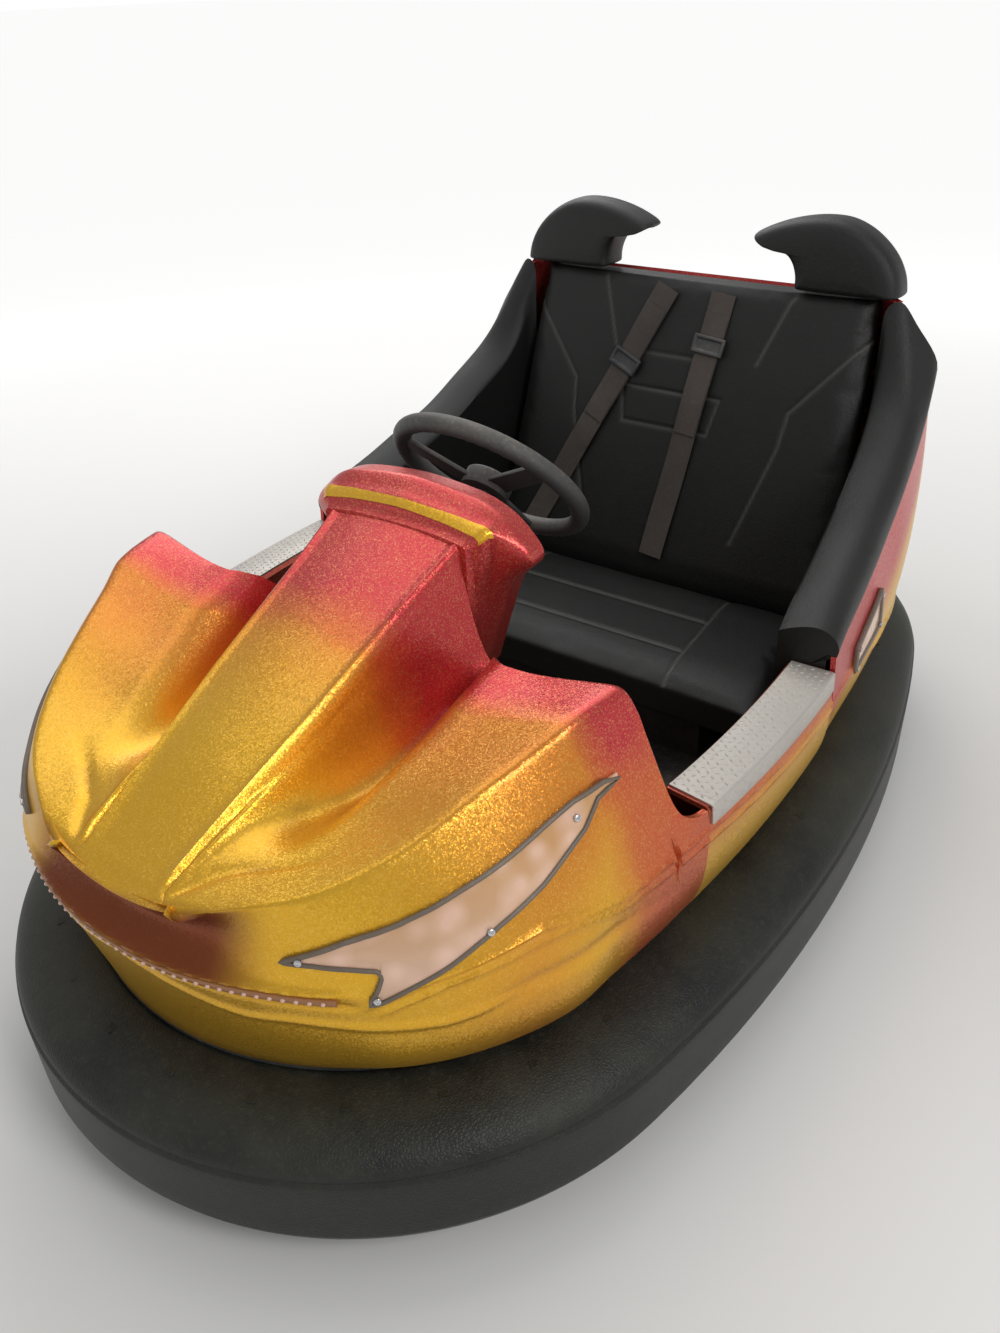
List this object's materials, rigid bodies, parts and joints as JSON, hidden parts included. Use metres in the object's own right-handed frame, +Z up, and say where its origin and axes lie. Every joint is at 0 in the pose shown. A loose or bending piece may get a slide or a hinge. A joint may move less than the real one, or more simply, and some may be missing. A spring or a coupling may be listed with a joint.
{
  "type": "bumper car",
  "caption": "Two-seat fairground bumper car with an inflated-look rubber bumper, moulded shell, padded seat, steered drive wheel and free rear wheels.",
  "frame": {"origin": "on the floor below the middle of the car's outline", "axes": "front of the car towards -Y, the driver's left towards +X, +Z up"},
  "size_m": [1.1798, 1.96, 0.9783],
  "materials": {
    "bumper_rubber": "dusty moulded rubber",
    "wheel_rubber": "worn solid rubber",
    "frame_steel": "black painted steel",
    "wheel_metal": "zinc plated",
    "body_paint": "metal-flake gold blending to orange and crimson under clear coat",
    "tread_metal": "chequer plate",
    "seat_pad": "fine-grained black leatherette",
    "belt_web": "woven webbing",
    "lamp_lens": "translucent pinkish amber",
    "light_strip": "clear resin over small lamps",
    "cockpit_plastic": "black moulded plastic",
    "motor_paint": "machine enamel"
  },
  "bodies": {
    "car": {"bumper_tyre": "bumper_rubber", "bumper_rim": "frame_steel", "chassis_pan": "frame_steel", "chassis_rails": "frame_steel", "drive_turret": "frame_steel", "body_front": "body_paint", "body_sill_left": "body_paint", "body_sill_right": "body_paint", "body_rear": "body_paint", "dash_panel": "body_paint", "cockpit_floor": "cockpit_plastic", "battery_box": "cockpit_plastic", "seat_base": "seat_pad", "seat_back": "seat_pad", "seat_bolster_left": "seat_pad", "seat_bolster_right": "seat_pad", "headrest_left": "seat_pad", "headrest_right": "seat_pad", "belt_left": "belt_web", "belt_right": "belt_web", "tread_plate_left": "tread_metal", "tread_plate_right": "tread_metal", "headlamp_left": "lamp_lens", "headlamp_right": "lamp_lens", "side_lamp_left": "lamp_lens", "side_lamp_right": "lamp_lens", "nose_light_strip": "light_strip", "tail_light_strips": "light_strip", "pedal": "cockpit_plastic", "steering_column": "frame_steel", "rear_bracket_left": "wheel_metal", "rear_bracket_right": "wheel_metal"},
    "steering": {"steering_wheel": "cockpit_plastic"},
    "drive_unit": {"drive_fork": "frame_steel", "drive_motor": "motor_paint"},
    "drive_wheel": {"drive_wheel": "wheel_metal", "drive_tyre": "wheel_rubber"},
    "rear_wheel_left": {"rear_wheel_left": "wheel_metal", "rear_tyre_left": "wheel_rubber"},
    "rear_wheel_right": {"rear_wheel_right": "wheel_metal", "rear_tyre_right": "wheel_rubber"}
  },
  "joints": [
    {"name": "drive_unit_steer", "type": "hinge", "parent": "car", "child": "drive_unit", "pos_m": [0, -0.5, 0.24], "axis": [0, 0, 1], "range_deg": [-90, 90]},
    {"name": "steering_turn", "type": "hinge", "parent": "car", "child": "steering", "pos_m": [0, -0.115, 0.705], "axis": [0, 0.766, 0.6428], "range_deg": [-135, 135]},
    {"name": "drive_wheel_spin", "type": "hinge", "parent": "drive_unit", "child": "drive_wheel", "pos_m": [0, -0.5, 0.1], "axis": [1, 0, 0], "continuous": true},
    {"name": "rear_left_spin", "type": "hinge", "parent": "car", "child": "rear_wheel_left", "pos_m": [0.3, 0.52, 0.06], "axis": [1, 0, 0], "continuous": true},
    {"name": "rear_right_spin", "type": "hinge", "parent": "car", "child": "rear_wheel_right", "pos_m": [-0.3, 0.52, 0.06], "axis": [1, 0, 0], "continuous": true}
  ],
  "couplings": [
    {"joint": "steering_turn", "follows": "drive_unit_steer", "ratio": 1.5}
  ]
}
